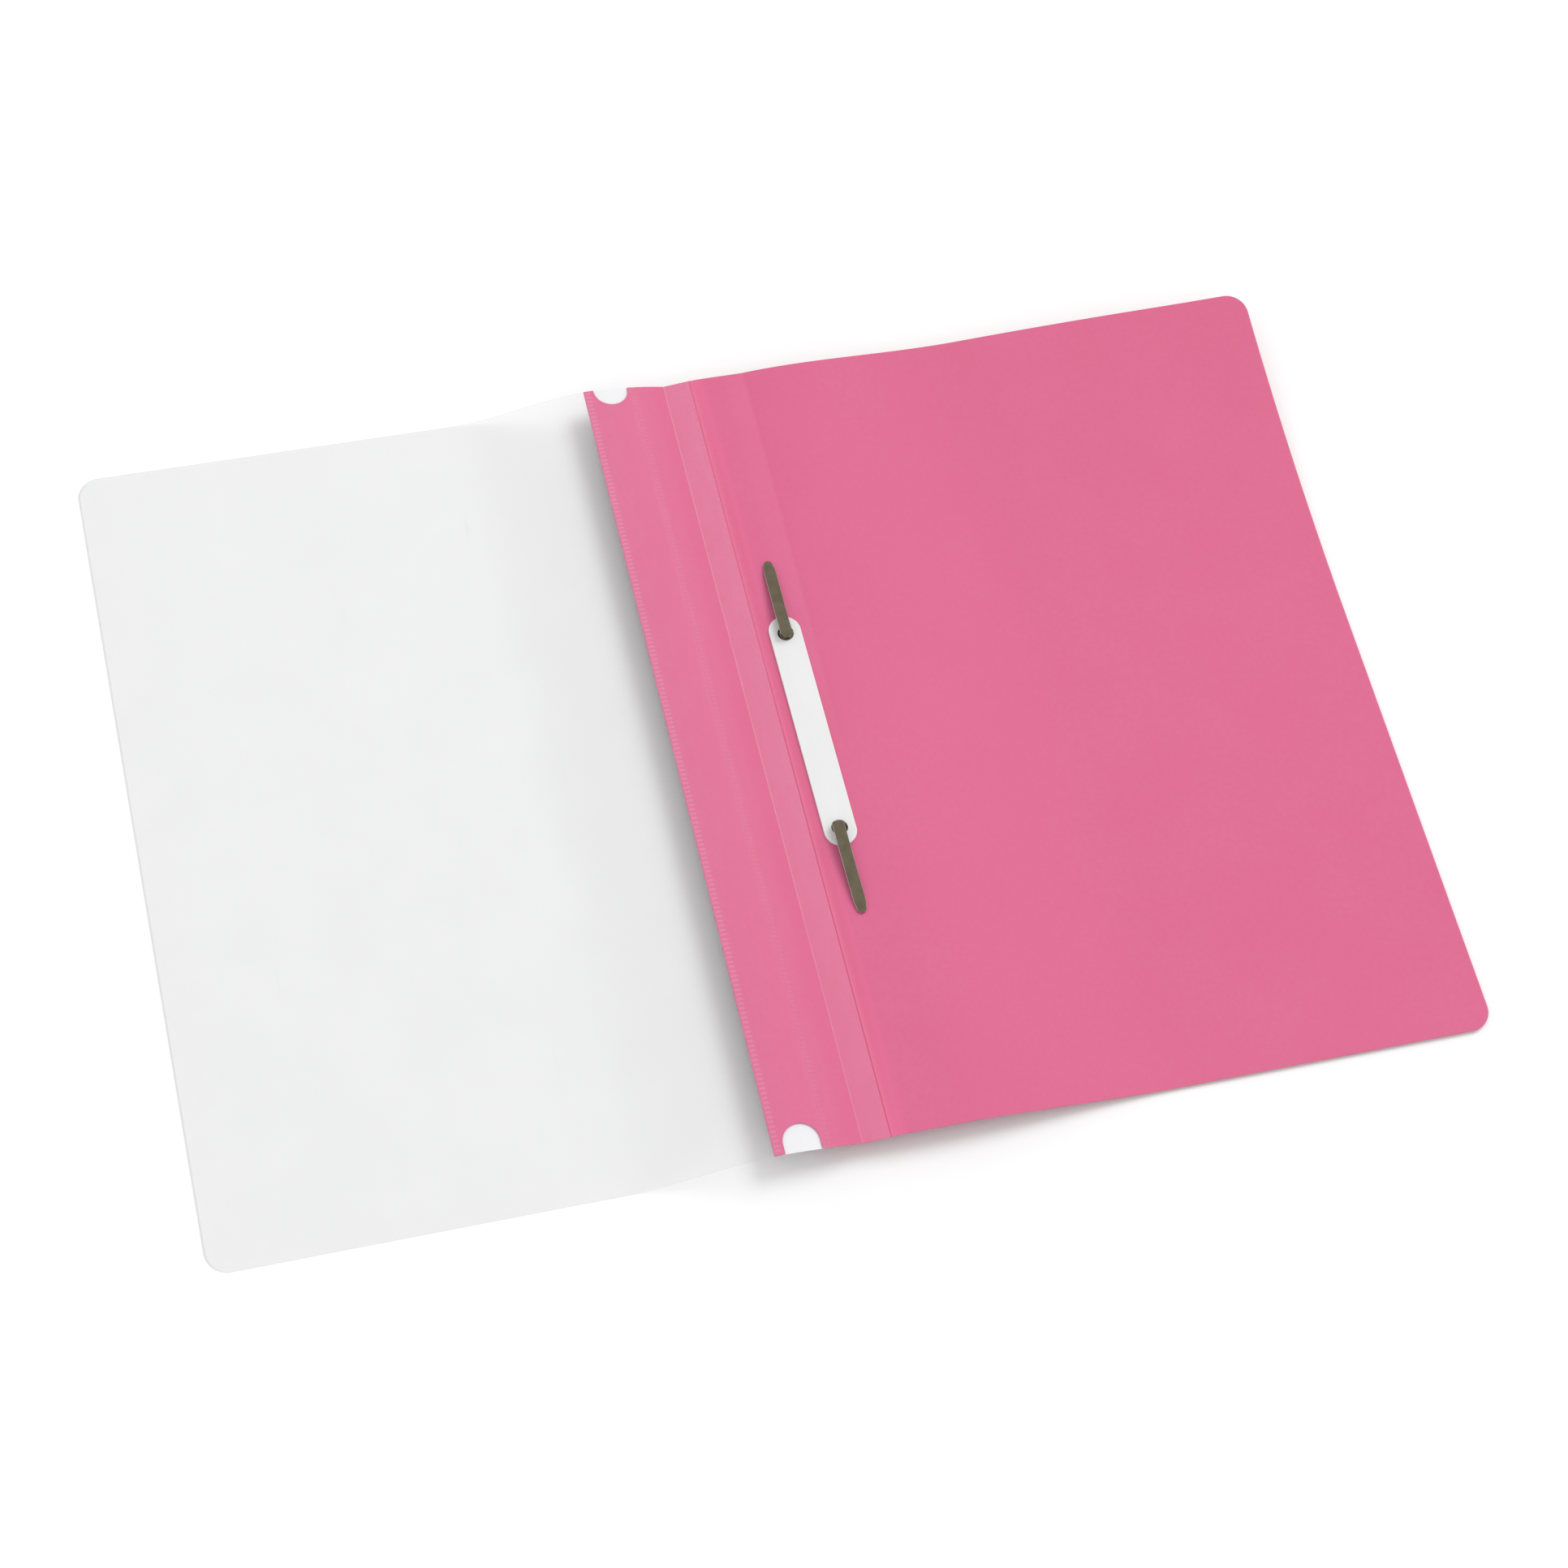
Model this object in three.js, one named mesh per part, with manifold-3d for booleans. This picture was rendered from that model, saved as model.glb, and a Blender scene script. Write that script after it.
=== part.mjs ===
// An A4 fastener folder, lying open with its inside up. Millimetres, +Z up.
// The origin lies midway between the two spine creases, on the surface that the folder rests on.
// +X runs across the back cover to its outer edge, +Y along the spine to the top of the folder.
import * as THREE from 'three';
import { mergeVertices } from 'three/addons/utils/BufferGeometryUtils.js';
import Module from 'manifold-3d';

const wasm = await Module();
wasm.setup();

// Covers
const coverHeight = 310;
const backWidth = 220;
const spineWidth = 10;
const frontWidth = 220;
const stripWidth = 31;
const sheetThickness = 0.4;
const clearThickness = 0.25;
const creaseGap = 0.6;
const backCornerRadius = 8;
const frontCornerRadius = 8;

// Label pocket between the strip and the clear sheet
const edgeWeldWidth = 2.5;
const innerWeldWidth = 2;
const innerWeldFromEdge = 18;
const pocketDepth = 0.5;
const clearSheetPastWeld = 0.5;
const labelThickness = 0.2;
const labelSideClearance = 0.3;
const notchWidth = 13;
const topNotchDepth = 7;
const bottomNotchDepth = 10;

// Fastener
const holeSpacing = 80;
const holeLine = 9.9;
const barWidth = 11.8;
const barThickness = 0.9;
const barEndMargin = 7.25;
const barHoleRadius = 3.25;
const coverHoleRadius = 3.4;
const metalThickness = 0.35;
const prongWidth = 4.8;
const prongTipWidth = 3;
const prongTaper = 7;
const upperProngLength = 33;
const lowerProngLength = 34.6;
const prongRootInset = 1.5;
const foldHeight = 4.4;
const foldGap = 0.35;
const tipClearance = 0.4;

// How the open folder lies: heights of the undersides above the table
const firstCreaseHeight = 6;
const secondCreaseHeight = 7.4;
const marginHeight = 8.5;
const marginRise = 4.5;
const marginWidth = 20;
const marginFall = 85;
const marginSag = 0.9;
const sagStart = 50;
const topCornerLift = 11.6;
const liftStart = 15;
const edgeLift = 1;
const edgeCurl = 40;
const stripRise = 4.4;
const clearFall = 50;

// Equal steps that each curved stretch is cut into
const creaseSteps = 3;
const fallSteps = 12;
const sagSteps = 3;
const acrossSteps = 3;
const alongSteps = 8;
const curlSteps = 4;
const stripSteps = 6;
const pocketSteps = 8;
const weldSteps = 2;
const cornerSteps = 12;
const holeSteps = 20;
const prongTipSteps = 8;

const firstCreaseX = -spineWidth / 2;
const secondCreaseX = spineWidth / 2;
const topY = coverHeight / 2;
const holeX = secondCreaseX + holeLine;
const holeY = holeSpacing / 2;
const seatHeight = marginHeight + sheetThickness;
const foldZ = seatHeight + foldHeight;
const prongRootY = holeY - prongRootInset;

const pinkPlastic = new THREE.MeshStandardMaterial({ color: 0xe27299, roughness: 0.45 });
const clearPlastic = new THREE.MeshStandardMaterial({
	color: 0xf4f6f7,
	roughness: 0.15,
	transparent: true,
	opacity: 0.25,
});
const whitePlastic = new THREE.MeshStandardMaterial({ color: 0xeeeeee, roughness: 0.4 });
const whitePaper = new THREE.MeshStandardMaterial({ color: 0xf1f1f3, roughness: 0.9 });
const bronzedMetal = new THREE.MeshStandardMaterial({ color: 0x6c6451, roughness: 0.4, metalness: 0.8 });

function smooth(t) {
	const clamped = Math.min(Math.max(t, 0), 1);
	return clamped * clamped * (3 - 2 * clamped);
}

// Underside of the back cover: up from the crease to the margin that holds the fastener, level under the bar
// and sagging a little past it, then down to the table, on which the cover's middle lies flat. The free edges
// curl up a little, the top corner the most.
const marginStartX = secondCreaseX + marginRise;
const marginEndX = secondCreaseX + marginWidth;
const flatStartX = marginEndX + marginFall;
const backEdgeX = secondCreaseX + backWidth;
const curlStartX = backEdgeX - edgeCurl;
const curlStartY = -topY + edgeCurl;

function backHeight(x, y) {
	const pastBar = Math.max(Math.abs(y) - sagStart, 0) / (topY - sagStart);
	const margin = marginHeight - marginSag * pastBar * pastBar;
	if (x < marginStartX) {
		const rise = smooth((x - secondCreaseX) / marginRise);
		return secondCreaseHeight + (margin - secondCreaseHeight) * rise;
	}
	const fallen = smooth((x - marginEndX) / marginFall);
	const across = Math.max(x - marginEndX, 0) / (backEdgeX - marginEndX);
	const along = Math.max(y - liftStart, 0) / (topY - liftStart);
	const outer = Math.max(x - curlStartX, 0) / edgeCurl;
	const lower = Math.max(curlStartY - y, 0) / edgeCurl;
	const curl = 1 - (1 - outer * outer) * (1 - lower * lower);
	const lift = topCornerLift * across * (2 - across) * along * along;
	return margin * (1 - fallen) + lift + edgeLift * fallen * curl;
}

// Underside of the spine: a straight slope from one crease to the other
function spineHeight(x) {
	const along = (x - firstCreaseX) / spineWidth;
	return firstCreaseHeight + (secondCreaseHeight - firstCreaseHeight) * along;
}

// Underside of the strip: an arch that leaves the first crease steeply and is level at the welded edge
const stripEdgeX = firstCreaseX - stripWidth;

function stripHeight(x) {
	const left = 1 - (firstCreaseX - x) / stripWidth;
	return firstCreaseHeight + stripRise * (1 - left * left);
}

// Underside of the clear sheet: it follows the strip at the pocket's depth, then falls to the table
function clearHeight(x) {
	const underStrip = stripHeight(Math.max(x, stripEdgeX)) - pocketDepth - clearThickness;
	return underStrip * (1 - smooth((stripEdgeX - x) / clearFall));
}

// Plan positions between named marks, each stretch cut into its own number of equal steps
function stations(marks, steps) {
	const out = [marks[0]];
	steps.forEach((count, i) => {
		for (let k = 1; k <= count; k++) out.push(marks[i] + ((marks[i + 1] - marks[i]) * k) / count);
	});
	return out;
}

// A thin sheet over the plan grid xs by ys, its underside at height(x, y)
function bentSheet(xs, ys, height, thickness) {
	const columns = xs.length - 1;
	const rows = ys.length - 1;
	const geometry = new THREE.BoxGeometry(1, 1, 1, columns, rows, 1);
	const position = geometry.attributes.position;
	for (let i = 0; i < position.count; i++) {
		const x = xs[Math.round((position.getX(i) + 0.5) * columns)];
		const y = ys[Math.round((position.getY(i) + 0.5) * rows)];
		const top = position.getZ(i) > 0 ? thickness : 0;
		position.setXYZ(i, x, y, height(x, y) + top);
	}
	return geometry;
}

// Boolean cuts and joins on closed geometries
function toManifold(geometry) {
	const bare = geometry.clone();
	bare.deleteAttribute('normal');
	bare.deleteAttribute('uv');
	const merged = mergeVertices(bare, 1e-4);
	return new wasm.Manifold(
		new wasm.Mesh({
			numProp: 3,
			vertProperties: new Float32Array(merged.attributes.position.array),
			triVerts: new Uint32Array(merged.index.array),
		}),
	);
}

function toGeometry(manifold) {
	const { vertProperties, triVerts } = manifold.getMesh();
	const geometry = new THREE.BufferGeometry();
	geometry.setAttribute('position', new THREE.BufferAttribute(vertProperties, 3));
	geometry.setIndex(new THREE.BufferAttribute(triVerts, 1));
	geometry.computeVertexNormals();
	return geometry;
}

function prism(shape, bottom, top, curveSegments = cornerSteps) {
	const depth = top - bottom;
	const geometry = new THREE.ExtrudeGeometry(shape, { depth, bevelEnabled: false, curveSegments });
	return geometry.translate(0, 0, bottom);
}

// A cover's outline with its two corners on the free side rounded; side is 1 to the right and -1 to the left
function coverOutline(innerX, outerX, radius) {
	const side = Math.sign(outerX - innerX);
	const cornerX = outerX - side * radius;
	const clockwise = side < 0;
	const shape = new THREE.Shape();
	shape.moveTo(innerX, -topY);
	shape.lineTo(cornerX, -topY);
	shape.absarc(cornerX, -topY + radius, radius, -Math.PI / 2, clockwise ? -Math.PI : 0, clockwise);
	shape.lineTo(outerX, topY - radius);
	shape.absarc(cornerX, topY - radius, radius, clockwise ? Math.PI : 0, Math.PI / 2, clockwise);
	shape.lineTo(innerX, topY);
	shape.closePath();
	return shape;
}

// Cutting shapes reach past the sheet that they cut by these much
const cutBelow = -5;
const cutAbove = 30;
const cutPast = 1;

function makeBackCover() {
	const innerX = secondCreaseX + creaseGap / 2;
	const marks = [innerX, marginStartX, marginEndX, flatStartX, curlStartX, backEdgeX];
	const xs = stations(marks, [creaseSteps, 1, fallSteps, acrossSteps, curlSteps]);
	const ys = stations([-topY, curlStartY, -sagStart, liftStart, topY], [curlSteps, sagSteps, 1, alongSteps]);
	const sheet = toManifold(bentSheet(xs, ys, backHeight, sheetThickness));
	const outline = coverOutline(innerX - cutPast, backEdgeX, backCornerRadius);
	let cover = sheet.intersect(toManifold(prism(outline, cutBelow, cutAbove)));
	for (const side of [-1, 1]) {
		const hole = new THREE.CylinderGeometry(coverHoleRadius, coverHoleRadius, cutAbove - cutBelow, holeSteps);
		hole.rotateX(Math.PI / 2);
		hole.translate(holeX, side * holeY, (cutAbove + cutBelow) / 2);
		cover = cover.subtract(toManifold(hole));
	}
	return toGeometry(cover);
}

function makeSpine() {
	const xs = stations([firstCreaseX + creaseGap / 2, secondCreaseX - creaseGap / 2], [1]);
	return bentSheet(xs, [-topY, topY], spineHeight, sheetThickness);
}

// The strip, with the two weld lines standing down from its underside and a thumb notch at each end
const edgeWeldEndX = stripEdgeX + edgeWeldWidth;
const innerWeldStartX = stripEdgeX + innerWeldFromEdge;
const innerWeldEndX = innerWeldStartX + innerWeldWidth;
const labelStartX = edgeWeldEndX + labelSideClearance;
const labelEndX = innerWeldStartX - labelSideClearance;
const notchX = (labelStartX + labelEndX) / 2;

function thumbNotch(end, depth) {
	const radius = notchWidth / 2;
	const centreY = end * (topY - depth + radius);
	const shape = new THREE.Shape();
	shape.moveTo(notchX + radius, end * (topY + radius));
	shape.lineTo(notchX + radius, centreY);
	shape.absarc(notchX, centreY, radius, 0, end > 0 ? -Math.PI : Math.PI, end > 0);
	shape.lineTo(notchX - radius, end * (topY + radius));
	shape.closePath();
	return toManifold(prism(shape, cutBelow, cutAbove));
}

function makeFrontStrip() {
	const innerX = firstCreaseX - creaseGap / 2;
	const ys = [-topY, topY];
	const marks = [stripEdgeX, edgeWeldEndX, innerWeldStartX, innerWeldEndX, innerX];
	const xs = stations(marks, [weldSteps, pocketSteps, weldSteps, stripSteps]);
	const weldDepth = pocketDepth + sheetThickness / 2;
	const weldHeight = (x) => stripHeight(x) - pocketDepth;
	let strip = toManifold(bentSheet(xs, ys, stripHeight, sheetThickness));
	for (const ends of [[stripEdgeX, edgeWeldEndX], [innerWeldStartX, innerWeldEndX]]) {
		strip = strip.add(toManifold(bentSheet(stations(ends, [weldSteps]), ys, weldHeight, weldDepth)));
	}
	return toGeometry(strip.subtract(thumbNotch(1, topNotchDepth)).subtract(thumbNotch(-1, bottomNotchDepth)));
}

function makeClearSheet() {
	const outerX = firstCreaseX - frontWidth;
	const innerX = innerWeldEndX + clearSheetPastWeld;
	const flatEndX = stripEdgeX - clearFall;
	const marks = [outerX, flatEndX, stripEdgeX, edgeWeldEndX, innerWeldStartX, innerWeldEndX, innerX];
	const xs = stations(marks, [1, fallSteps, weldSteps, pocketSteps, weldSteps, 1]);
	const sheet = toManifold(bentSheet(xs, [-topY, topY], clearHeight, clearThickness));
	const outline = coverOutline(innerX + cutPast, outerX, frontCornerRadius);
	return toGeometry(sheet.intersect(toManifold(prism(outline, cutBelow, cutAbove))));
}

function makeLabel() {
	const height = (x) => stripHeight(x) - (pocketDepth + labelThickness) / 2;
	return bentSheet(stations([labelStartX, labelEndX], [pocketSteps]), [-topY, topY], height, labelThickness);
}

// The fastener: one metal strip under the cover, its two ends standing up through the holes
function makeFastenerBase() {
	const outerY = prongRootY + metalThickness / 2;
	const innerY = prongRootY - metalThickness / 2;
	const bottomZ = marginHeight - metalThickness;
	const stubTopZ = foldZ - foldGap;
	const profile = new THREE.Shape();
	profile.moveTo(-outerY, bottomZ);
	profile.lineTo(outerY, bottomZ);
	profile.lineTo(outerY, stubTopZ);
	profile.lineTo(innerY, stubTopZ);
	profile.lineTo(innerY, marginHeight);
	profile.lineTo(-innerY, marginHeight);
	profile.lineTo(-innerY, stubTopZ);
	profile.lineTo(-outerY, stubTopZ);
	profile.closePath();
	const geometry = prism(profile, holeX - prongWidth / 2, holeX + prongWidth / 2);
	// the profile is drawn as (Y, Z) and its depth becomes X
	return geometry.applyMatrix4(new THREE.Matrix4().set(0, 0, 1, 0, 1, 0, 0, 0, 0, 1, 0, 0, 0, 0, 0, 1));
}

function makeTopBar() {
	const radius = barWidth / 2;
	const straight = holeY + barEndMargin - radius;
	const shape = new THREE.Shape();
	shape.moveTo(radius, -straight);
	shape.lineTo(radius, straight);
	shape.absarc(0, straight, radius, 0, Math.PI, false);
	shape.lineTo(-radius, -straight);
	shape.absarc(0, -straight, radius, Math.PI, 2 * Math.PI, false);
	shape.closePath();
	for (const side of [-1, 1]) {
		const hole = new THREE.Path();
		hole.absarc(0, side * holeY, barHoleRadius, 0, 2 * Math.PI, true);
		shape.holes.push(hole);
	}
	return prism(shape, 0, barThickness, holeSteps);
}

// A prong's free part, drawn along +Y from its fold and tapering to a rounded tip
function makeProng(length) {
	const half = prongWidth / 2;
	const tip = prongTipWidth / 2;
	const tipY = length - tip;
	const shape = new THREE.Shape();
	shape.moveTo(-half, foldGap);
	shape.lineTo(half, foldGap);
	shape.lineTo(half, length - prongTaper);
	shape.quadraticCurveTo(half, length - prongTaper / 2, tip, tipY);
	shape.absarc(0, tipY, tip, 0, Math.PI, false);
	shape.quadraticCurveTo(-half, length - prongTaper / 2, -half, length - prongTaper);
	shape.closePath();
	return prism(shape, -metalThickness / 2, metalThickness / 2, prongTipSteps);
}

function place(name, geometry, material, parent) {
	const mesh = new THREE.Mesh(geometry, material);
	mesh.name = name;
	parent.add(mesh);
	return mesh;
}

const folder = new THREE.Group();
place('back_cover', makeBackCover(), pinkPlastic, folder);
place('spine_strip', makeSpine(), pinkPlastic, folder);
place('front_strip', makeFrontStrip(), pinkPlastic, folder);
place('front_sheet', makeClearSheet(), clearPlastic, folder);
place('label_insert', makeLabel(), whitePaper, folder);
place('fastener_base', makeFastenerBase(), bronzedMetal, folder);
place('top_bar', makeTopBar(), whitePlastic, folder).position.set(holeX, 0, seatHeight);
const prongs = [
	['prong_top', 1, upperProngLength],
	['prong_bottom', -1, lowerProngLength],
];
for (const [name, side, length] of prongs) {
	const dip = Math.asin((foldHeight - metalThickness / 2 - tipClearance) / length);
	const fold = new THREE.Group();
	fold.position.set(holeX, side * prongRootY, foldZ);
	fold.rotation.set(-dip, 0, side > 0 ? 0 : Math.PI, 'ZYX');
	folder.add(fold);
	place(name, makeProng(length), bronzedMetal, fold);
}

export default folder;
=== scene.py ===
import math

import bpy
from mathutils import Matrix, Vector


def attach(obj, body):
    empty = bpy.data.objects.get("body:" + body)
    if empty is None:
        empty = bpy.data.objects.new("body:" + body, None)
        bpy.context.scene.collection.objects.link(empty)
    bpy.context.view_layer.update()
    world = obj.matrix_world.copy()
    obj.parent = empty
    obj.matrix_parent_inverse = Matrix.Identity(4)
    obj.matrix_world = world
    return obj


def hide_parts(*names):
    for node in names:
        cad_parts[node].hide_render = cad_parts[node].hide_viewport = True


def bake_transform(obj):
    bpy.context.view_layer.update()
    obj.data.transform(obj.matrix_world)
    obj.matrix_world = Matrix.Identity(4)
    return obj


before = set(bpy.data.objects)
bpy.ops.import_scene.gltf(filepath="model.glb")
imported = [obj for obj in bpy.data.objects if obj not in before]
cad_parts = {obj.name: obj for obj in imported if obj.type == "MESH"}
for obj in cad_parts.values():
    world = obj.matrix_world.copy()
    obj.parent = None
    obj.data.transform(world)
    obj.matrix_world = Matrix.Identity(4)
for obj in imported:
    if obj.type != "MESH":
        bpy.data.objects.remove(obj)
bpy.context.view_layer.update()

mm = 0.001


# The back cover and the spine: one die-cut sheet of matte pink polypropylene, 0.4 mm thick. A pressed
# crease parts the two as a living hinge, and two holes are punched for the fastener. The sheet lies on
# its middle; the fastener's fold holds up its spine side, and its edges and top corner curl a little.
half_height = 155 * mm
crease_x = 5 * mm
seam_x = -4.6 * mm
sheet_thickness = 0.4 * mm
edge_rounding = 0.07 * mm
cover_edge_x = 225 * mm
cover_corner = 8 * mm
squeeze_from_x = 185 * mm
hole_x, hole_y, cover_hole_radius = 14.9 * mm, 40 * mm, 3.4 * mm
first_crease_z, second_crease_z, margin_z = 6 * mm, 7.4 * mm, 8.5 * mm
margin_start_x, margin_end_x, flat_start_x = 9.5 * mm, 25 * mm, 110 * mm
margin_sag, sag_from_y = 0.9 * mm, 50 * mm
curl_width, curl_height, curl_from_y = 40 * mm, 1 * mm, -115 * mm
corner_lift, lift_from_y = 11.6 * mm, 15 * mm
flex_depth, flex_width = 0.07 * mm, 1.6 * mm
crease_depth, crease_half = 0.07 * mm, 0.2 * mm
crease_mark_x = crease_x - 0.35 * mm
flex_lean = 0.008


def ease(t):
    t = min(max(t, 0.0), 1.0)
    return t * t * (3 - 2 * t)


def spine_underside(x):
    return first_crease_z + (second_crease_z - first_crease_z) * (x + crease_x) / (2 * crease_x)


def cover_underside(x, y):
    if x < crease_x:
        return spine_underside(x)
    past_bar = max(abs(y) - sag_from_y, 0) / (half_height - sag_from_y)
    margin = margin_z - margin_sag * past_bar * past_bar
    if x < margin_start_x:
        rise = ease((x - crease_x) / (margin_start_x - crease_x))
        return second_crease_z + (margin - second_crease_z) * rise
    fallen = ease((x - margin_end_x) / (flat_start_x - margin_end_x))
    across = max(x - margin_end_x, 0) / (cover_edge_x - margin_end_x)
    along = max(y - lift_from_y, 0) / (half_height - lift_from_y)
    outer = max(x - squeeze_from_x, 0) / curl_width
    lower = max(curl_from_y - y, 0) / curl_width
    curl = 1 - (1 - outer * outer) * (1 - lower * lower)
    lift = corner_lift * across * (2 - across) * along * along
    return margin * (1 - fallen) + lift + curl_height * fallen * curl


def line_at(x, centre, half_width):
    """1 on a pressed line and 0 away from it."""
    return math.exp(-(((x - centre) / half_width) ** 2))


def cover_relief(x, y):
    """The crease's groove, double and shallow in its upper half, its raised lip, and the soft flex line."""
    upper = ease((y + 30 * mm) / (60 * mm))
    wander = 0.05 * mm * math.sin(y / (7.3 * mm)) + 0.04 * mm * math.sin(y / (2.9 * mm) + 1)
    single = line_at(x, crease_mark_x, crease_half) * (1 - upper)
    double = line_at(x, crease_mark_x - 0.2 * mm + wander, 0.13 * mm)
    double += line_at(x, crease_mark_x + 0.3 * mm - wander, 0.13 * mm)
    lip = line_at(x, crease_mark_x + 0.5 * mm, 0.16 * mm) * (1 - 0.6 * upper)
    flex_x = 24.2 * mm + flex_lean * y
    flex = line_at(x, flex_x, flex_width) * ease((y + 60 * mm) / (90 * mm))
    return -crease_depth * (single + 0.45 * upper * double) + 0.05 * mm * lip - flex_depth * flex


def stations(marks, counts):
    """Plan positions from mark to mark, each stretch cut into its own count of equal steps."""
    out = [marks[0]]
    for start, end, count in zip(marks, marks[1:], counts):
        out += [start + (end - start) * k / count for k in range(1, count + 1)]
    return out


def closed_sheet(name, columns, rows, place, top, bottom, square_x=None):
    """A thin closed sheet over a plan grid. Its cut edges are rounded, apart from the side at square_x,
    where it meets the next sheet. The attribute cut_edge is 1 along the cut and 0 within the sheet."""
    same_place = 1e-7
    across, along = len(columns), len(rows)
    plan = [place(x, y) for y in rows for x in columns]
    count = len(plan)
    points = [(x, y, top(x, y)) for x, y in plan] + [(x, y, bottom(x, y)) for x, y in plan]
    faces = []
    for j in range(along - 1):
        for i in range(across - 1):
            a = j * across + i
            faces.append((a, a + 1, a + across + 1, a + across))
            b = a + count
            faces.append((b, b + across, b + across + 1, b + 1))
    rim = list(range(across)) + [j * across + across - 1 for j in range(1, along)]
    rim += [(along - 1) * across + i for i in range(across - 2, -1, -1)]
    rim += [j * across for j in range(along - 2, 0, -1)]
    pushes = []
    for k, index in enumerate(rim):
        here, out = Vector(plan[index]), Vector((0, 0))
        for step in (-1, 1):
            other = Vector(plan[rim[(k + step) % len(rim)]])
            if square_x is not None and max(abs(here.x - square_x), abs(other.x - square_x)) < same_place:
                continue
            run = (other - here).normalized() * step
            out += Vector((run.y, -run.x))
        if out.length > 1e-6:
            square_corner = 1.3 < out.length < 1.5
            out = out / (max(abs(out.x), abs(out.y)) if square_corner else out.length)
        pushes.append(out * edge_rounding)
    upper_ring = len(points)
    for index, push in zip(rim, pushes):
        x, y = plan[index]
        points.append((x + push.x, y + push.y, points[index][2] - edge_rounding))
    lower_ring = len(points)
    for index, push in zip(rim, pushes):
        x, y = plan[index]
        points.append((x + push.x, y + push.y, points[index + count][2] + edge_rounding))
    turns = len(rim)
    for k in range(turns):
        n = (k + 1) % turns
        rings = [rim[k], upper_ring + k, lower_ring + k, rim[k] + count]
        nexts = [rim[n], upper_ring + n, lower_ring + n, rim[n] + count]
        for level in range(3):
            faces.append((rings[level], rings[level + 1], nexts[level + 1], nexts[level]))
    mesh = bpy.data.meshes.new(name)
    mesh.from_pydata(points, [], faces)
    cut = [0.0] * len(points)
    for k, index in enumerate(rim):
        if pushes[k].length > 0:
            for p in (index, index + count, upper_ring + k, lower_ring + k):
                cut[p] = 1.0
    mesh.attributes.new("cut_edge", "FLOAT", "POINT").data.foreach_set("value", cut)
    sheet = bpy.data.objects.new(name, mesh)
    bpy.context.collection.objects.link(sheet)
    return sheet


def settle(piece, smooth_below=50):
    """Turns a piece with its modifiers into a plain mesh with smooth faces and crisp corners."""
    graph = bpy.context.evaluated_depsgraph_get()
    mesh = bpy.data.meshes.new_from_object(piece.evaluated_get(graph), depsgraph=graph)
    mesh.name = piece.name
    piece.modifiers.clear()
    piece.data = mesh
    mesh.polygons.foreach_set("use_smooth", [True] * len(mesh.polygons))
    mesh.set_sharp_from_angle(angle=math.radians(smooth_below))
    return piece


def punch(sheet, outline):
    """Takes a cutter with this closed plan outline out of the sheet."""
    low, high, n = -10 * mm, 40 * mm, len(outline)
    points = [(x, y, low) for x, y in outline] + [(x, y, high) for x, y in outline]
    faces = [tuple(range(n - 1, -1, -1)), tuple(range(n, 2 * n))]
    faces += [(k, (k + 1) % n, n + (k + 1) % n, n + k) for k in range(n)]
    mesh = bpy.data.meshes.new("cutter")
    mesh.from_pydata(points, [], faces)
    cutter = bpy.data.objects.new("cutter", mesh)
    bpy.context.collection.objects.link(cutter)
    punching = sheet.modifiers.new("punch", "BOOLEAN")
    punching.operation, punching.solver, punching.object = "DIFFERENCE", "EXACT", cutter
    settle(sheet)
    bpy.data.objects.remove(cutter)


def circle(x, y, radius, sides=48):
    turn = 2 * math.pi / sides
    return [(x + radius * math.cos(k * turn), y + radius * math.sin(k * turn)) for k in range(sides)]


def node(tree, kind, inputs=None, **settings):
    """A node with its settings, and each input set to a value or joined to a socket."""
    made = tree.nodes.new(kind)
    for key, value in settings.items():
        setattr(made, key, value)
    for key, value in (inputs or {}).items():
        if isinstance(value, bpy.types.NodeSocket):
            tree.links.new(value, made.inputs[key])
        else:
            made.inputs[key].default_value = value
    return made


def noise(tree, coordinates, scale, detail=2.0, roughness=0.5, stretch=None):
    """Noise of this many features to the metre, read on the object's own coordinates."""
    if stretch is not None:
        coordinates = node(tree, "ShaderNodeMapping", {"Vector": coordinates, "Scale": stretch}).outputs[0]
    inputs = {"Vector": coordinates, "Scale": scale, "Detail": detail, "Roughness": roughness}
    return node(tree, "ShaderNodeTexNoise", inputs).outputs["Fac"]


def between(tree, value, low, high, out_low=0.0, out_high=1.0):
    """value carried from low..high to out_low..out_high, held at both ends."""
    inputs = {"Value": value, "From Min": low, "From Max": high, "To Min": out_low, "To Max": out_high}
    return node(tree, "ShaderNodeMapRange", inputs, interpolation_type="SMOOTHSTEP").outputs[0]


def between_linear(tree, value, low, high):
    """value carried from low..high to 0..1 in a straight line."""
    inputs = {"Value": value, "From Min": low, "From Max": high}
    return node(tree, "ShaderNodeMapRange", inputs).outputs[0]


def maths(tree, operation, a, b):
    return node(tree, "ShaderNodeMath", {0: a, 1: b}, operation=operation).outputs[0]


def band(tree, value, rise, fall):
    """0 outside rise and fall, each a pair of places from low to high, and 1 from the one to the other."""
    return maths(tree, "MULTIPLY", between(tree, value, *rise), between(tree, value, fall[1], fall[0]))


def blend_colour(tree, factor, a, b):
    """Colour a at factor 0 and b at factor 1."""
    mixed = node(tree, "ShaderNodeMix", data_type="RGBA")
    for socket, value in ((mixed.inputs[0], factor), (mixed.inputs[6], a), (mixed.inputs[7], b)):
        if isinstance(value, bpy.types.NodeSocket):
            tree.links.new(value, socket)
        else:
            socket.default_value = value
    return mixed.outputs[2]


def bare_material(name):
    """A new material, its tree and its shader."""
    material = bpy.data.materials.new(name)
    material.use_nodes = True
    shader = material.node_tree.nodes["Principled BSDF"]
    return material, material.node_tree, shader


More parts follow.
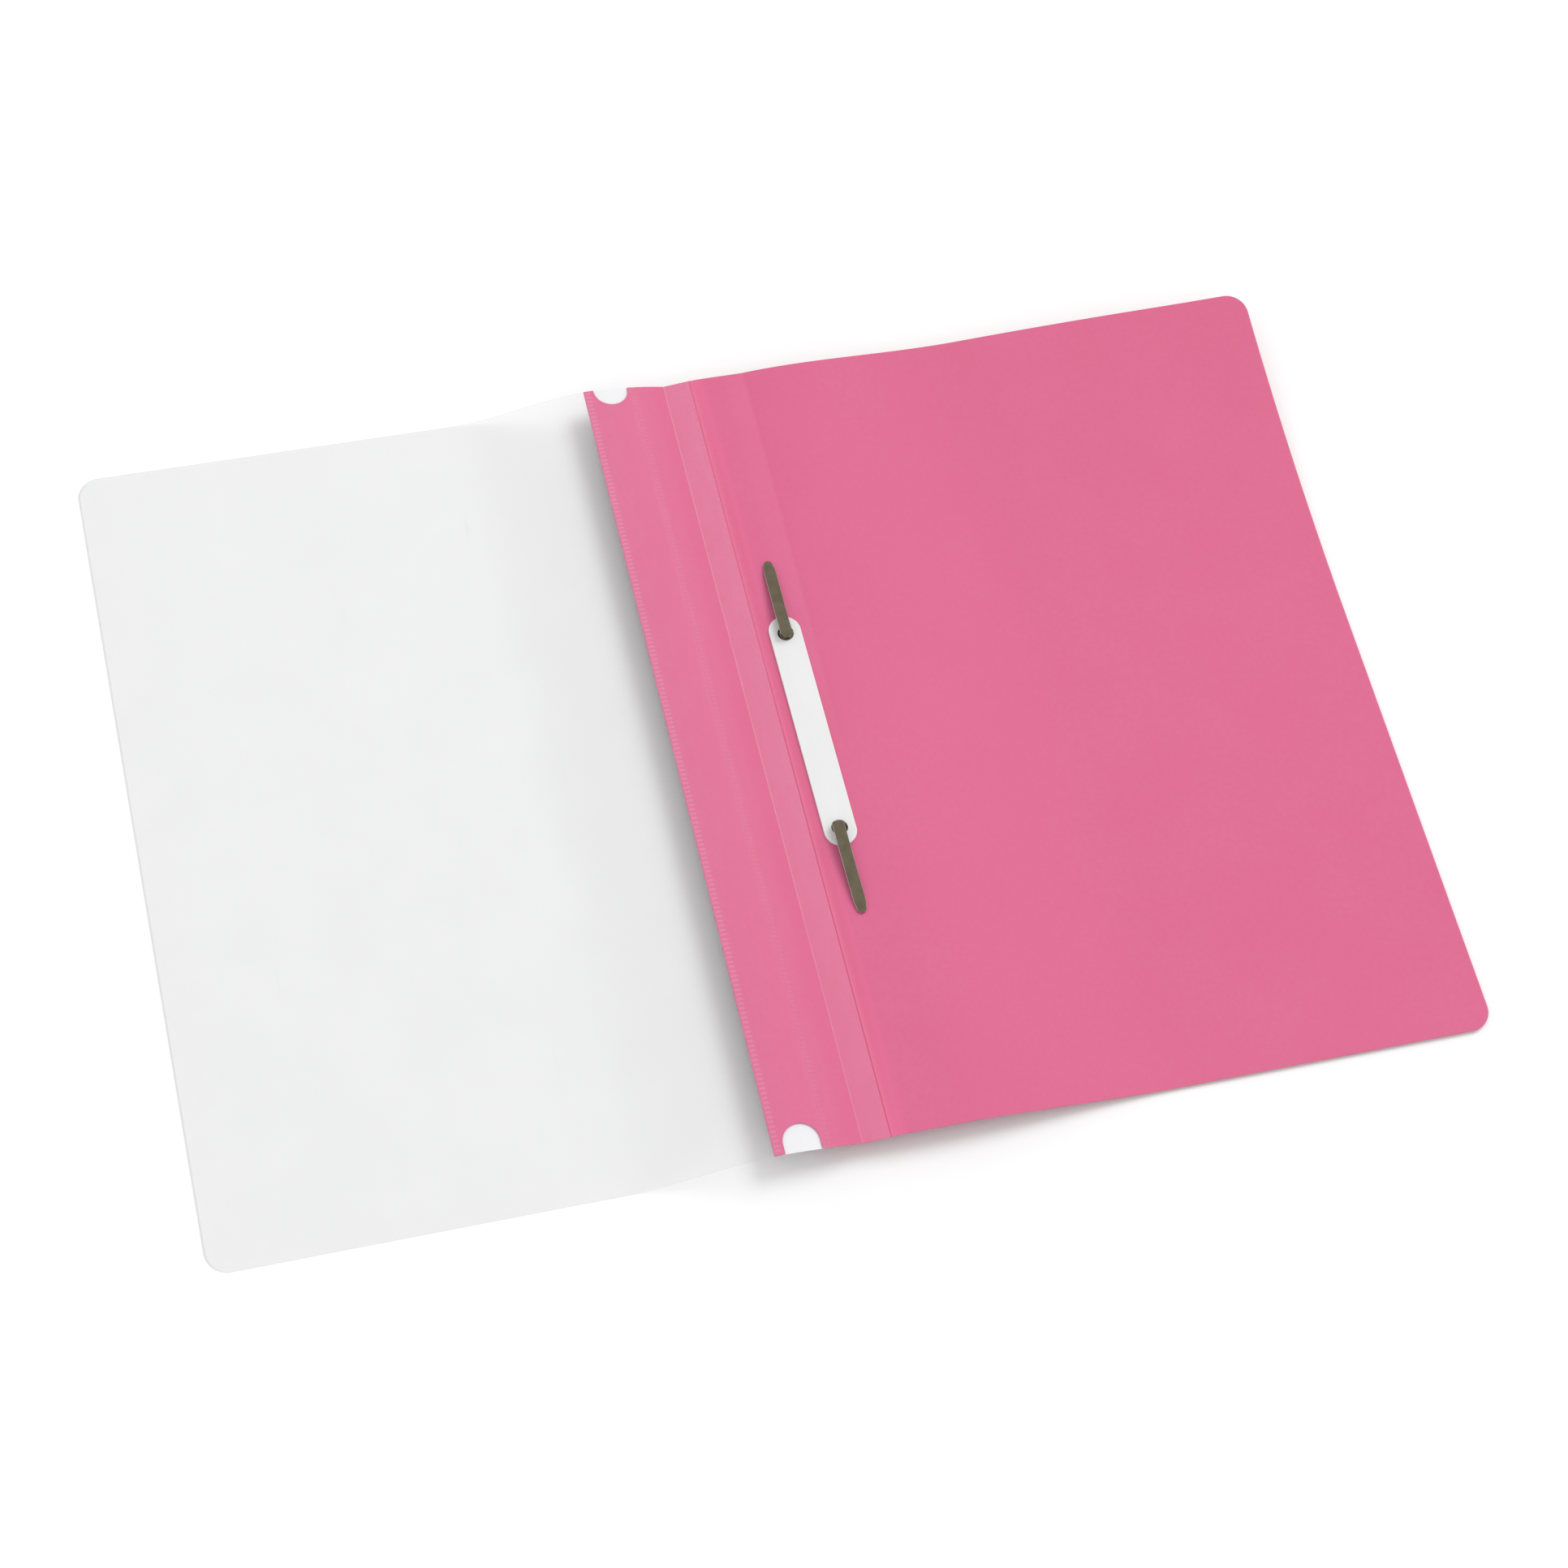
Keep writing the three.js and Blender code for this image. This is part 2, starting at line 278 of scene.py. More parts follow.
def pink_finish(name, pressed_white=0.0):
    """Matte pink polypropylene: a fine moulded grain, a faint leathery mottle, and the pale bands and lines
    where it is folded, welded or lies over the label, with painted light and shade across the spine side.
    Tones across the spine side are read on X."""
    material, tree, shader = bare_material(name)
    place = node(tree, "ShaderNodeTexCoord").outputs["Object"]
    axes = node(tree, "ShaderNodeSeparateXYZ", {0: place}).outputs
    mottle = noise(tree, place, 520, 4, 0.62)
    cloud = noise(tree, place, 26, 2, 0.5)
    grain = noise(tree, place, 2600, 2, 0.6)
    deep, pale, white = (0.641, 0.1115, 0.2365, 1), (0.655, 0.1225, 0.2535, 1), (0.98, 0.81, 0.95, 1)
    painted_lit_pink, crease_shade_pink = (0.80, 0.138, 0.29, 1), (0.60, 0.070, 0.185, 1)
    mottling = maths(tree, "ADD", between(tree, mottle, 0.32, 0.68, -0.12, 0.5),
                     between(tree, cloud, 0.3, 0.7, 0.1, 0.5))
    colour = blend_colour(tree, mottling, deep, pale)

    # How much paler the sheet is at each millimetre on X, from the strip's edge to past the second crease.
    # Partly the sheet's own tone, paler on the welds, over the label pocket and along the first crease, and
    # partly painted light: a painted sheen lifts the spine out of its shade, and a painted highlight lies
    # on the lip beside the second crease.
    ramp_start, ramp_end = -36, 30
    ramp_place = between_linear(tree, axes[0], ramp_start * mm, ramp_end * mm)
    ramp = node(tree, "ShaderNodeValToRGB", {0: ramp_place})
    stops = [
        (-36, 0.085), (-35.6, 0.064), (-33.6, 0.062), (-33.1, 0.058), (-32.2, 0.044), (-20, 0.040),
        (-19.2, 0.044), (-18.4, 0.054), (-16.2, 0.052), (-15.2, 0.034), (-12, 0.025), (-9, 0.016),
        (-5.3, 0.012), (-5.1, 0.20), (-4.9, 0.20), (-4.7, 0.076), (-4.2, 0.080), (4.15, 0.100),
        (4.85, 0.070), (5.55, 0.045), (6.6, 0.013), (9, 0.005), (16, 0.006), (30, 0.008),
    ]
    ramp.color_ramp.elements.remove(ramp.color_ramp.elements[0])
    for x, level in stops[:-1]:
        place_on_ramp = (x - ramp_start) / (ramp_end - ramp_start)
        ramp.color_ramp.elements.new(place_on_ramp).color = (level, level, level, 1)
    last_level = stops[-1][1]
    ramp.color_ramp.elements[-1].color = (last_level, last_level, last_level, 1)
    rub = between(tree, noise(tree, place, 300, 3, 0.6, (1, 0.25, 1)), 0.25, 0.75, 0.9, 1.1)
    paleness_and_painted_light = maths(tree, "MULTIPLY", ramp.outputs[0], rub)
    # The paleness, painted light included, fades a little towards the bottom end.
    paleness_and_painted_light = maths(tree, "MULTIPLY", paleness_and_painted_light, between(tree, axes[1], -120 * mm, -35 * mm, 0.78, 1.0))
    edge = node(tree, "ShaderNodeAttribute", attribute_name="cut_edge").outputs["Fac"]
    chalk = between(tree, noise(tree, place, 160, 3, 0.6), 0.35, 0.7, 0.0, 0.09)
    paleness_and_painted_light = maths(tree, "ADD", paleness_and_painted_light, maths(tree, "MULTIPLY", edge, chalk))
    paleness_and_painted_light = maths(tree, "ADD", paleness_and_painted_light, pressed_white)

    # Fine crumpling beside the second crease, strongest towards the top.
    crumple_x = band(tree, axes[0], (-3 * mm, 4 * mm), (5 * mm, 10 * mm))
    crumple_place = maths(tree, "MULTIPLY", crumple_x, between(tree, axes[1], -60 * mm, 70 * mm, 0.1, 1))
    wrinkles = noise(tree, place, 1500, 3, 0.65, (1, 0.6, 1))
    crumple = maths(tree, "MULTIPLY", wrinkles, crumple_place)
    flecks = maths(tree, "MULTIPLY", between(tree, wrinkles, 0.35, 0.65, -0.018, 0.018), crumple_place)
    paleness_and_painted_light = maths(tree, "ADD", paleness_and_painted_light, flecks)

    # The flex line runs up the cover at a slight lean, with painted light and shade across it: a band of
    # painted light before it and a band of painted shade beyond.
    past_flex = maths(tree, "SUBTRACT", axes[0], maths(tree, "MULTIPLY", axes[1], flex_lean))
    upper = between(tree, axes[1], -20 * mm, 50 * mm)
    held = band(tree, past_flex, (15 * mm, 19 * mm), (24 * mm, 25 * mm))
    beyond = band(tree, past_flex, (24 * mm, 25.5 * mm), (30 * mm, 70 * mm))
    painted_light_before_flex, painted_shade_beyond_flex = 0.010, 0.007
    step = maths(tree, "SUBTRACT", maths(tree, "MULTIPLY", held, painted_light_before_flex),
                 maths(tree, "MULTIPLY", beyond, painted_shade_beyond_flex))
    paleness_and_painted_light = maths(tree, "ADD", paleness_and_painted_light, maths(tree, "MULTIPLY", step, upper))
    colour = blend_colour(tree, paleness_and_painted_light, colour, white)

    # Painted light: the spine and the slope beyond the second crease are blended towards a brighter pink,
    # lifting the shade they lie in, and a painted shade line runs along the second crease.
    painted_light_on_slope = maths(tree, "MULTIPLY", between(tree, axes[0], 4.6 * mm, 5.6 * mm, 0.13, 0.38),
                     between(tree, axes[0], -5.2 * mm, -4.9 * mm))
    painted_light_on_slope = maths(tree, "MULTIPLY", painted_light_on_slope, between(tree, axes[0], 11.5 * mm, 8 * mm))
    colour = blend_colour(tree, painted_light_on_slope, colour, painted_lit_pink)
    # Painted shade: a darker pink line stands for the shadow in the second crease's groove.
    beside = maths(tree, "ABSOLUTE", maths(tree, "SUBTRACT", axes[0], crease_mark_x + 0.05 * mm), 0.0)
    line = maths(tree, "MULTIPLY", between(tree, beside, 0.28 * mm, 0.06 * mm),
                 between(tree, axes[1], 40 * mm, -10 * mm, 0.8, 1))
    colour = blend_colour(tree, line, colour, crease_shade_pink)
    tree.links.new(colour, shader.inputs["Base Color"])

    tree.links.new(between(tree, mottle, 0.3, 0.7, 0.40, 0.50), shader.inputs["Roughness"])
    shader.inputs["IOR"].default_value = 1.49
    height = maths(tree, "ADD", maths(tree, "MULTIPLY", mottle, 0.5), maths(tree, "MULTIPLY", grain, 0.22))
    height = maths(tree, "ADD", height, maths(tree, "MULTIPLY", crumple, 2.4))
    bump = node(tree, "ShaderNodeBump", {"Strength": 0.35, "Distance": 0.06 * mm, "Height": height})
    tree.links.new(bump.outputs[0], shader.inputs["Normal"])
    return material


def rounded_corner_x(y, edge_x, radius):
    """How far out the edge lies at this y, with the corners rounded to this radius."""
    past = abs(y) - (half_height - radius)
    if past <= 0:
        return edge_x
    return edge_x - math.copysign(radius - math.sqrt(max(radius * radius - past * past, 0.0)), edge_x)


def corner_rows(radius, straight_rows):
    """Rows from end to end: close together in the rounded corners and just within each end's cut edge."""
    inner = half_height - radius
    turns = (8, 16, 24, 32, 40, 48, 56, 63, 69, 74, 79, 84, 90)
    arcs = [inner + (radius - edge_rounding) * math.sin(math.radians(turn)) for turn in turns]
    straight = stations([-inner, inner], [straight_rows])
    return [-y for y in reversed(arcs)] + straight + arcs


def squeezed(x, y, from_x, edge_x, radius):
    """The plan point (x, y) drawn in from from_x outwards, so that the outer edge follows its corners."""
    side = math.copysign(1, edge_x)
    if side * x <= side * from_x:
        return x, y
    rim_y = y * half_height / (half_height - edge_rounding)
    reach = rounded_corner_x(rim_y, edge_x, radius) - side * edge_rounding
    share = (x - from_x) / (edge_x - side * edge_rounding - from_x)
    return from_x + (reach - from_x) * share, y


back_sheet = closed_sheet(
    "back_sheet",
    stations(
        [seam_x, 3.8 * mm, 5.8 * mm, margin_start_x, 22 * mm, 27 * mm, flat_start_x, squeeze_from_x,
         cover_edge_x - 0.5 * mm, cover_edge_x - edge_rounding],
        [4, 26, 12, 6, 16, 30, 12, 16, 1],
    ),
    corner_rows(cover_corner, 100),
    lambda x, y: squeezed(x, y, squeeze_from_x, cover_edge_x, cover_corner),
    lambda x, y: cover_underside(x, y) + sheet_thickness + cover_relief(x, y),
    lambda x, y: cover_underside(x, y) - 0.04 * mm * line_at(x, crease_mark_x, 0.3 * mm),
    square_x=seam_x,
)
for end in (1, -1):
    punch(back_sheet, circle(hole_x, end * hole_y, cover_hole_radius))
pink = pink_finish("pink_polypropylene")
back_sheet.data.materials.append(pink)
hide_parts("back_cover", "spine_strip")
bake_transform(back_sheet)


# The front strip: the same pink sheet carried on past the first crease. It arches up to its free edge and
# is welded to the clear sheet there and again 18 mm inwards, with a pocket for the label between. Thumb
# notches punched at both ends bare the label.
strip_edge_x = -36 * mm
strip_width = 31 * mm
strip_rise = 4.4 * mm
pocket_depth = 0.5 * mm
edge_weld = (-36 * mm, -33.5 * mm)
inner_weld = (-18 * mm, -16 * mm)
weld_dip = 0.08 * mm
notch_x, notch_radius = -25.75 * mm, 6.5 * mm
top_notch_depth, bottom_notch_depth = 7 * mm, 10 * mm


def strip_underside(x):
    left = 1 - (-crease_x - x) / strip_width
    return first_crease_z + strip_rise * (1 - left * left)


def strip_or_spine(x):
    """The pink sheet's underside on both sides of the first crease."""
    return strip_underside(x) if x < -crease_x else spine_underside(x)


def in_weld(x, soft):
    """1 on either weld and 0 off them, with this much of a slope between."""
    return max(
        ease((x - start) / soft + 0.5) * ease((end - x) / soft + 0.5)
        for start, end in (edge_weld, inner_weld)
    )


def strip_top(x, y):
    groove = crease_depth * 0.8 * line_at(x, -crease_x, crease_half)
    lips = 0.03 * mm * line_at(x, -crease_x - 0.45 * mm, 0.15 * mm)
    return strip_or_spine(x) + sheet_thickness - groove + lips - weld_dip * in_weld(x, 0.5 * mm)


def strip_bottom(x, y):
    return strip_or_spine(x) - pocket_depth * in_weld(x, 0.1 * mm)


def notch_outline(end, depth):
    """A U open at the sheet's end: straight sides and a half-round foot."""
    centre_y = end * (half_height - depth + notch_radius)
    beyond = end * (half_height + notch_radius)
    arc = [
        (notch_x + notch_radius * math.cos(a), centre_y - end * notch_radius * math.sin(a))
        for a in (math.pi * k / 32 for k in range(33))
    ]
    outline = [(notch_x + notch_radius, beyond)] + arc + [(notch_x - notch_radius, beyond)]
    return outline[::-1] if end > 0 else outline


inset = half_height - edge_rounding
front_strip = closed_sheet(
    "strip_sheet",
    stations(
        [strip_edge_x + edge_rounding, -35.6 * mm, -33.7 * mm, -33.3 * mm, -18.3 * mm, -17.7 * mm,
         -16.3 * mm, -15.7 * mm, -6 * mm, seam_x],
        [4, 5, 6, 16, 8, 4, 8, 16, 18],
    ),
    stations([-inset, -154.5 * mm, 154.5 * mm, inset], [1, 60, 1]),
    lambda x, y: (x, y),
    strip_top,
    strip_bottom,
    square_x=seam_x,
)
punch(front_strip, notch_outline(1, top_notch_depth))
punch(front_strip, notch_outline(-1, bottom_notch_depth))
front_strip.data.materials.append(pink)
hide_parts("front_strip")
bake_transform(front_strip)


# The weld ribs: the toothed wheel that welds the pocket leaves a row of slightly bowed ribs across each
# weld. They are the strip's own plastic, pressed paler, and stand level with the sheet round them.
rib_pitch, rib_count = 1.756 * mm, 176
rib_width, rib_bow = 0.42 * mm, 0.15 * mm


def input_sockets(tree, **kinds):
    """Named inputs of a node tree; returns the group input's sockets and the identifiers by name."""
    tree.interface.new_socket("Geometry", in_out="OUTPUT", socket_type="NodeSocketGeometry")
    identifiers = {}
    for name, kind in kinds.items():
        socket = tree.interface.new_socket(name, in_out="INPUT", socket_type="NodeSocket" + kind)
        identifiers[name] = socket.identifier
    return tree.nodes.new("NodeGroupInput").outputs, identifiers


def finish_tree(tree, geometry, material):
    real = node(tree, "GeometryNodeRealizeInstances", {0: geometry}).outputs[0]
    coated = node(tree, "GeometryNodeSetMaterial", {"Geometry": real, "Material": material}).outputs[0]
    tree.links.new(coated, tree.nodes.new("NodeGroupOutput").inputs[0])


def grown(name, tree, identifiers, values):
    """A piece grown from a tree of geometry nodes, as a plain mesh."""
    mesh = bpy.data.meshes.new(name)
    piece = bpy.data.objects.new(name, mesh)
    bpy.context.collection.objects.link(piece)
    growing = piece.modifiers.new("grow", "NODES")
    growing.node_group = tree
    for key, value in values.items():
        growing[identifiers[key]] = value
    return settle(piece)


rib_tree = bpy.data.node_groups.new("weld_ribs", "GeometryNodeTree")
rib_in, rib_ids = input_sockets(
    rib_tree, Count="Int", Pitch="Float", First="Vector", Start="Vector", Middle="Vector", End="Vector",
    Width="Float", Height="Float", Material="Material",
)
rib_line = node(rib_tree, "GeometryNodeCurveQuadraticBezier", {
    "Resolution": 4, "Start": rib_in["Start"], "Middle": rib_in["Middle"], "End": rib_in["End"],
})
rib_profile = node(rib_tree, "GeometryNodeCurvePrimitiveCircle", {"Resolution": 6, "Radius": 1.0})
rib_size = node(rib_tree, "ShaderNodeCombineXYZ", {0: rib_in["Width"], 1: rib_in["Height"], 2: 1.0})
rib_shape = node(rib_tree, "GeometryNodeTransform", {
    0: rib_profile.outputs[0], "Scale": rib_size.outputs[0],
})
rib = node(rib_tree, "GeometryNodeCurveToMesh", {
    "Curve": rib_line.outputs[0], "Profile Curve": rib_shape.outputs[0], "Fill Caps": True,
})
rib_step = node(rib_tree, "ShaderNodeCombineXYZ", {0: 0.0, 1: rib_in["Pitch"], 2: 0.0})
rib_row = node(rib_tree, "GeometryNodeMeshLine", {
    "Count": rib_in["Count"], "Start Location": rib_in["First"], "Offset": rib_step.outputs[0],
}, mode="OFFSET")
ribs = node(rib_tree, "GeometryNodeInstanceOnPoints", {
    "Points": rib_row.outputs[0], "Instance": rib.outputs[0],
})
finish_tree(rib_tree, ribs.outputs[0], rib_in["Material"])

pressed_pink = pink_finish("pressed_pink_polypropylene", pressed_white=0.066)
faint_pink = pink_finish("faintly_pressed_pink_polypropylene", pressed_white=0.014)
for name, (start, end), height, finish in (
    ("edge_weld_ribs", edge_weld, 0.085 * mm, pressed_pink),
    ("inner_weld_ribs", inner_weld, 0.06 * mm, faint_pink),
):
    near, far = start + 0.35 * mm, end + 0.1 * mm
    middle = (near + far) / 2
    level = sheet_thickness - weld_dip
    ribs_piece = grown(name, rib_tree, rib_ids, {
        "Count": rib_count,
        "Pitch": rib_pitch,
        "First": (0, -(rib_count - 1) / 2 * rib_pitch, 0),
        "Start": (near, 0, strip_underside(near) + level),
        "Middle": (middle, 2 * rib_bow, strip_underside(middle) + level),
        "End": (far, 0, strip_underside(far) + level),
        "Width": rib_width,
        "Height": height,
        "Material": finish,
    })
    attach(ribs_piece, "front")


# The clear front sheet: glass-clear polypropylene film, 0.25 mm thick, welded under the strip and lying
# flat on the table beyond it. Its two free corners are rounded. It shows only as a faint grey, with
# paler cut edges.
clear_thickness = 0.25 * mm
clear_edge_x, clear_inner_x = -225 * mm, -15.5 * mm
clear_corner = 8 * mm
clear_fall = 50 * mm
clear_squeeze_x = -190 * mm


def clear_underside(x, y):
    held = strip_underside(max(x, strip_edge_x)) - pocket_depth - clear_thickness
    return held * (1 - ease((strip_edge_x - x) / clear_fall))


clear_sheet = closed_sheet(
    "clear_sheet",
    stations(
        [clear_edge_x + edge_rounding, clear_edge_x + 0.8 * mm, clear_squeeze_x, strip_edge_x - clear_fall,
         strip_edge_x, clear_inner_x - 0.5 * mm, clear_inner_x - edge_rounding],
        [1, 14, 20, 24, 12, 1],
    ),
    corner_rows(clear_corner, 80),
    lambda x, y: squeezed(x, y, clear_squeeze_x, clear_edge_x, clear_corner),
    lambda x, y: clear_underside(x, y) + clear_thickness,
    clear_underside,
)
settle(clear_sheet)
clear, tree, shader = bare_material("clear_polypropylene")
place = node(tree, "ShaderNodeTexCoord").outputs["Object"]
edge = node(tree, "ShaderNodeAttribute", attribute_name="cut_edge").outputs["Fac"]
haze = between(tree, noise(tree, place, 30, 3, 0.6), 0.3, 0.7, 0.033, 0.040)
scuffs = between(tree, noise(tree, place, 240, 5, 0.75, (1, 0.06, 1)), 0.62, 0.80, 0.0, 0.03)
glancing = node(tree, "ShaderNodeLayerWeight", {"Blend": 0.25}).outputs["Fresnel"]
gloss = between(tree, glancing, 0.0, 0.8, 0.0, 0.22)
film = maths(tree, "ADD", maths(tree, "ADD", haze, scuffs), gloss)
film = maths(tree, "ADD", film, maths(tree, "MULTIPLY", edge, 0.10))
tree.links.new(film, shader.inputs["Alpha"])
film_grey, cut_grey = (0.40, 0.405, 0.41, 1), (0.55, 0.56, 0.56, 1)
tree.links.new(blend_colour(tree, edge, film_grey, cut_grey), shader.inputs["Base Color"])
dulling = between(tree, noise(tree, place, 90, 4, 0.6), 0.3, 0.7, 0.10, 0.2)
tree.links.new(dulling, shader.inputs["Roughness"])
shader.inputs["IOR"].default_value = 1.49
clear_sheet.data.materials.append(clear)
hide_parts("front_sheet")
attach(clear_sheet, "front")


# The label insert: a plain slip of white paper that fills the pocket from end to end and shows in the two
# notches. Its shape is the CAD solid's own; only its finish is given here, a soft fibrous white.
paper, tree, shader = bare_material("white_paper")
place = node(tree, "ShaderNodeTexCoord").outputs["Object"]
fibre = noise(tree, place, 1500, 5, 0.7, (1, 0.3, 1))
paper_white = blend_colour(tree, fibre, (0.765, 0.765, 0.78, 1), (0.815, 0.815, 0.83, 1))
tree.links.new(paper_white, shader.inputs["Base Color"])
tree.links.new(between(tree, fibre, 0.2, 0.8, 0.8, 0.95), shader.inputs["Roughness"])
bump = node(tree, "ShaderNodeBump", {"Strength": 0.3, "Distance": 0.03 * mm, "Height": fibre})
tree.links.new(bump.outputs[0], shader.inputs["Normal"])
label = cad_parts["label_insert"]
for slot in label.material_slots:
    slot.material = paper


# The fastener's foot: a flat strip of bronze-lacquered steel under the cover, bent up sharply at both
# ends to pass through the cover's holes. A round boss pressed up at each bend nearly fills the bar's hole.
metal_thickness = 0.35 * mm
prong_width = 4.4 * mm
root_y = 38.5 * mm
stub_top_z = 9.0 * mm
bar_top_z = 9.9 * mm

foot_tree = bpy.data.node_groups.new("fastener_foot", "GeometryNodeTree")
foot_in, foot_ids = input_sockets(
    foot_tree, LowEnd="Vector", LowBend="Vector", HighBend="Vector", HighEnd="Vector", BendRadius="Float",
    Width="Float", Thickness="Float", Break="Float", Material="Material",
)
foot_path = node(foot_tree, "GeometryNodeCurvePrimitiveQuadrilateral", mode="POINTS")
for k, corner in enumerate(("LowEnd", "LowBend", "HighBend", "HighEnd")):
    foot_tree.links.new(foot_in[corner], foot_path.inputs[f"Point {k + 1}"])
foot_open = node(foot_tree, "GeometryNodeSetSplineCyclic", {0: foot_path.outputs[0], "Cyclic": False})
foot_bent = node(foot_tree, "GeometryNodeFilletCurve", {
    0: foot_open.outputs[0], "Radius": foot_in["BendRadius"], "Count": 6,
}, mode="POLY")
foot_flat = node(foot_tree, "GeometryNodeCurvePrimitiveQuadrilateral", {
    "Width": foot_in["Width"], "Height": foot_in["Thickness"],
})
foot_profile = node(foot_tree, "GeometryNodeFilletCurve", {
    0: foot_flat.outputs[0], "Radius": foot_in["Break"], "Count": 2,
}, mode="POLY")
foot_mesh = node(foot_tree, "GeometryNodeCurveToMesh", {
    "Curve": foot_bent.outputs[0], "Profile Curve": foot_profile.outputs[0], "Fill Caps": True,
})
finish_tree(foot_tree, foot_mesh.outputs[0], foot_in["Material"])

bronze, tree, shader = bare_material("bronzed_steel")
place = node(tree, "ShaderNodeTexCoord").outputs["Object"]
rolled = noise(tree, place, 1500, 4, 0.6, (1, 0.04, 0.2))
patina = noise(tree, place, 220, 3, 0.6)
dark_bronze, pale_bronze = (0.130, 0.105, 0.063, 1), (0.161, 0.136, 0.088, 1)
tint = blend_colour(tree, between(tree, patina, 0.3, 0.7), dark_bronze, pale_bronze)
tint = blend_colour(tree, between(tree, rolled, 0.35, 0.75, 0, 0.25), tint, (0.21, 0.19, 0.13, 1))
edge = node(tree, "ShaderNodeAttribute", attribute_name="cut_edge").outputs["Fac"]
tint = blend_colour(tree, edge, tint, (0.72, 0.76, 0.69, 1))
tree.links.new(tint, shader.inputs["Base Color"])
tree.links.new(between(tree, rolled, 0.3, 0.7, 0.32, 0.46), shader.inputs["Roughness"])
shader.inputs["Metallic"].default_value = 0.65
bump = node(tree, "ShaderNodeBump", {"Strength": 0.25, "Distance": 0.02 * mm, "Height": rolled})
tree.links.new(bump.outputs[0], shader.inputs["Normal"])

foot_z = margin_z - metal_thickness / 2
foot = grown("fastener_foot", foot_tree, foot_ids, {
    "LowEnd": (hole_x, -root_y, stub_top_z),
    "LowBend": (hole_x, -root_y, foot_z),
    "HighBend": (hole_x, root_y, foot_z),
    "HighEnd": (hole_x, root_y, stub_top_z),
    "BendRadius": 0.6 * mm,
    "Width": prong_width,
    "Thickness": metal_thickness,
    "Break": 0.08 * mm,
    "Material": bronze,
})
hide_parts("fastener_base")
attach(foot, "back")

boss_radius, boss_top_z, boss_round = 2.6 * mm, 9.72 * mm, 0.15 * mm
levels = [
    (0.0, foot_z),
    (0.0, boss_top_z - boss_round),
    (0.3 * boss_round, boss_top_z - 0.3 * boss_round),
    (boss_round, boss_top_z),
]
for name, end, aside, along in (
    ("upper_boss", 1, 0.0, 0.2 * mm),
    ("lower_boss", -1, -0.05 * mm, 0.25 * mm),
):
    points, faces, sides = [], [], 48
    for inward, z in levels:
        ring = circle(hole_x + aside, end * hole_y + along, boss_radius - inward, sides)
        points += [(x, y, z) for x, y in ring]
    for level in range(len(levels) - 1):
        for k in range(sides):
            a, b = level * sides + k, level * sides + (k + 1) % sides
            faces.append((a, b, b + sides, a + sides))
    faces.append(tuple(range(sides - 1, -1, -1)))
    faces.append(tuple(range((len(levels) - 1) * sides, len(levels) * sides)))
    mesh = bpy.data.meshes.new(name)
    mesh.from_pydata(points, [], faces)
    mesh.materials.append(bronze)
    boss = bpy.data.objects.new(name, mesh)
    bpy.context.collection.objects.link(boss)
    settle(boss, 60)
    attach(boss, "back")


# The two prongs: the foot's ends carried on up through the bar's holes and folded over by thumb, so that
# they slope down to rounded, tapered tips just clear of the cover. The cut edges show bare, paler steel.
fold_z = 13.3 * mm
prong_drop = 3.825 * mm
bend_top = 2 * mm
taper_length = 4.7 * mm
tip_radius = 1.75 * mm
edge_break = 0.13 * mm
tip_flat = 0.14 * mm
neck_rise, bend_back = 2 * mm, 1.2 * mm
shift_rise = 4 * mm


